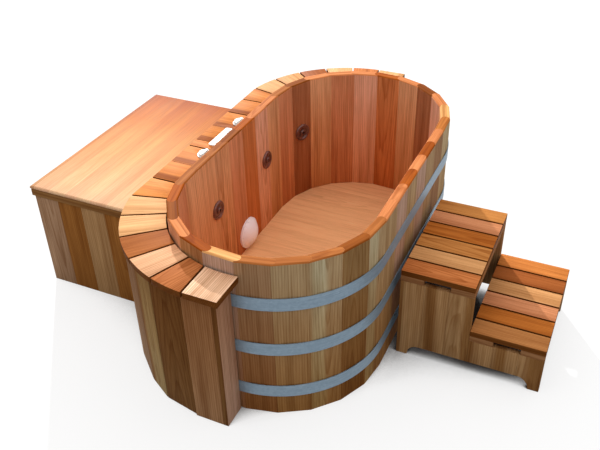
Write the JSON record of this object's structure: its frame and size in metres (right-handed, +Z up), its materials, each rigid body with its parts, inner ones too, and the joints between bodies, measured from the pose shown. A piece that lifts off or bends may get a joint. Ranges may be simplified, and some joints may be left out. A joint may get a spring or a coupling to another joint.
{
  "type": "japanese soaking tub",
  "caption": "Oval cedar stave soaking tub with steel hoops, a decked and boarded surround, a hinged equipment box and free-standing steps.",
  "frame": {"origin": "middle of the tub's oval footprint, on the floor", "axes": "+X along the tub's straight sides towards its far end, +Y towards the equipment box, +Z up"},
  "size_m": [1.8, 2.0992, 0.666],
  "materials": {
    "cedar_staves": "oiled, fine vertical grain",
    "cedar_floor": "sanded",
    "cedar_frame": "rough sawn",
    "hoop_steel": "galvanised, blue grey",
    "stainless_steel": "satin",
    "cedar_deck": "sanded, light tan to orange",
    "cedar_skirt": "clear sealed",
    "cedar_lid": "sanded, light salmon tan",
    "cedar_slats": "sanded",
    "motor_paint": "enamel",
    "black_plastic": "moulded",
    "filter_pleats": "pleated polyester",
    "pvc_pipe": "extruded",
    "red_plastic": "moulded",
    "brown_plastic": "moulded",
    "white_plastic": "moulded",
    "cover_plastic": "moulded",
    "button_plastic": "membrane"
  },
  "bodies": {
    "tub": {"staves_front": "cedar_staves", "staves_far_end": "cedar_staves", "staves_back": "cedar_staves", "staves_near_end": "cedar_staves", "floor_boards": "cedar_floor", "floor_joists": "cedar_frame", "hoop_top": "hoop_steel", "hoop_middle": "hoop_steel", "hoop_bottom": "hoop_steel", "hoop_bolts": "stainless_steel", "deck_boards_near": "cedar_deck", "deck_boards_back": "cedar_deck", "deck_boards_far": "cedar_deck", "skirt_panels_near": "cedar_skirt", "skirt_panels_far": "cedar_skirt", "skirt_fascia": "cedar_skirt", "end_boards": "cedar_skirt", "skirt_frame": "cedar_frame", "box_walls": "cedar_skirt", "box_frame": "cedar_frame", "box_base": "cedar_frame", "hinge_leaves_fixed": "stainless_steel", "pump_motor": "motor_paint", "pump_housing": "black_plastic", "heater": "stainless_steel", "filter_housing": "black_plastic", "filter_cartridge": "filter_pleats", "control_box": "black_plastic", "suction_pipe": "pvc_pipe", "pressure_pipes": "pvc_pipe", "air_pipes": "pvc_pipe", "drain_pipe": "pvc_pipe", "valve_bodies": "pvc_pipe", "jet_bodies": "pvc_pipe", "suction_fitting": "pvc_pipe", "suction_cover": "cover_plastic", "drain_strainer": "white_plastic", "air_control_bodies": "white_plastic", "keypad_housing": "white_plastic"},
    "equipment_lid": {"box_lid": "cedar_lid", "lid_frame": "cedar_lid", "hinge_leaves_moving": "stainless_steel"},
    "rotor": {"pump_rotor": "stainless_steel"},
    "filter_cap": {"filter_lid": "black_plastic"},
    "suction_valve": {"suction_valve_handle": "red_plastic"},
    "return_valve": {"return_valve_handle": "red_plastic"},
    "drain_valve": {"drain_valve_handle": "red_plastic"},
    "jet_near": {"jet_face_near": "brown_plastic"},
    "jet_middle": {"jet_face_middle": "brown_plastic"},
    "jet_far": {"jet_face_far": "brown_plastic"},
    "air_dial_near": {"air_knob_near": "white_plastic"},
    "air_dial_far": {"air_knob_far": "white_plastic"},
    "button_1": {"keypad_button_1": "button_plastic"},
    "button_2": {"keypad_button_2": "button_plastic"},
    "button_3": {"keypad_button_3": "button_plastic"},
    "steps": {"step_sides": "cedar_skirt", "step_rails": "cedar_frame", "step_stretchers": "cedar_frame", "upper_tread": "cedar_slats", "lower_tread": "cedar_slats"}
  },
  "joints": [
    {"name": "lid_hinge", "type": "hinge", "parent": "tub", "child": "equipment_lid", "pos_m": [0.035, 1.1105, 0.4342], "axis": [-1, 0, 0], "range_deg": [0, 100]},
    {"name": "pump_shaft_spin", "type": "hinge", "parent": "tub", "child": "rotor", "pos_m": [0.2, 0.64, 0.162], "axis": [1, 0, 0], "continuous": true},
    {"name": "filter_cap_turn", "type": "hinge", "parent": "tub", "child": "filter_cap", "pos_m": [0.37, 0.93, 0.35], "axis": [0, 0, 1], "range_deg": [0, 90]},
    {"name": "suction_valve_turn", "type": "hinge", "parent": "tub", "child": "suction_valve", "pos_m": [0.015, 0.562, 0.216], "axis": [0, 0, 1], "range_deg": [0, 90]},
    {"name": "return_valve_turn", "type": "hinge", "parent": "tub", "child": "return_valve", "pos_m": [-0.14, 0.66, 0.154], "axis": [0, 0, 1], "range_deg": [0, 90]},
    {"name": "drain_valve_turn", "type": "hinge", "parent": "tub", "child": "drain_valve", "pos_m": [-0.23, 0.562, 0.104], "axis": [0, 0, 1], "range_deg": [0, 90]},
    {"name": "jet_near_turn", "type": "hinge", "parent": "tub", "child": "jet_near", "pos_m": [-0.21, 0.357, 0.418], "axis": [0, -1, 0], "range_deg": [0, 120]},
    {"name": "jet_middle_turn", "type": "hinge", "parent": "tub", "child": "jet_middle", "pos_m": [0.223, 0.357, 0.418], "axis": [0, -1, 0], "range_deg": [0, 120]},
    {"name": "jet_far_turn", "type": "hinge", "parent": "tub", "child": "jet_far", "pos_m": [0.51669, 0.31806, 0.418], "axis": [-0.4328, -0.9015, 0], "range_deg": [0, 120]},
    {"name": "air_dial_near_turn", "type": "hinge", "parent": "tub", "child": "air_dial_near", "pos_m": [-0.134, 0.441, 0.62], "axis": [0, 0, 1], "range_deg": [0, 180]},
    {"name": "air_dial_far_turn", "type": "hinge", "parent": "tub", "child": "air_dial_far", "pos_m": [0.159, 0.441, 0.62], "axis": [0, 0, 1], "range_deg": [0, 180]},
    {"name": "button_1_press", "type": "slide", "parent": "tub", "child": "button_1", "axis": [0, 0, -1], "range_m": [0, 0.0012], "stiffness_N_per_m": 400, "springref_m": -0.0005},
    {"name": "button_2_press", "type": "slide", "parent": "tub", "child": "button_2", "axis": [0, 0, -1], "range_m": [0, 0.0012], "stiffness_N_per_m": 400, "springref_m": -0.0005},
    {"name": "button_3_press", "type": "slide", "parent": "tub", "child": "button_3", "axis": [0, 0, -1], "range_m": [0, 0.0012], "stiffness_N_per_m": 400, "springref_m": -0.0005},
    {"name": "steps_slide", "type": "slide", "parent": "tub", "child": "steps", "axis": [0, -1, 0], "range_m": [0, 0.3]}
  ]
}
